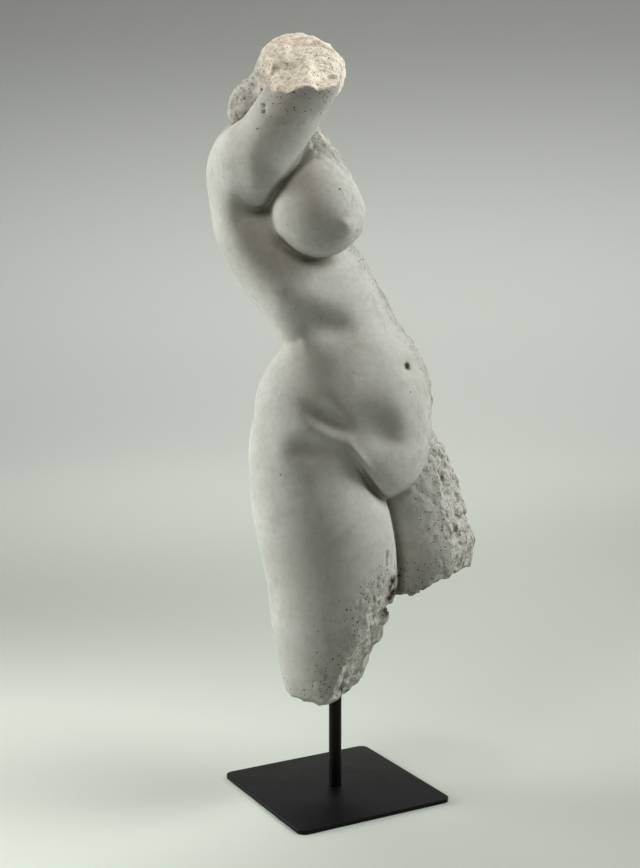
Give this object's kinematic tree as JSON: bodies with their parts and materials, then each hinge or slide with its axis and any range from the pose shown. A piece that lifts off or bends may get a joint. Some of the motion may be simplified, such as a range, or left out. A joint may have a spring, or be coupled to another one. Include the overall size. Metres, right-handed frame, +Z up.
{
  "type": "plaster venus torso on stand",
  "caption": "Broken cast of a standing female figure, from the raised arm stub to the thighs, held over a square black metal plate by a slim rod.",
  "frame": {"origin": "middle of the underside of the square base plate", "axes": "+Z up along the rod; X and Y along the plate's sides"},
  "size_m": [0.2671, 0.2035, 0.705],
  "materials": {
    "plaster": "matte cast plaster, warm grey white, with bubbles and rough breaks",
    "black_steel": "satin black paint on steel"
  },
  "bodies": {
    "root": {"base_plate": "black_steel", "rod": "black_steel", "torso": "plaster"}
  },
  "joints": []
}
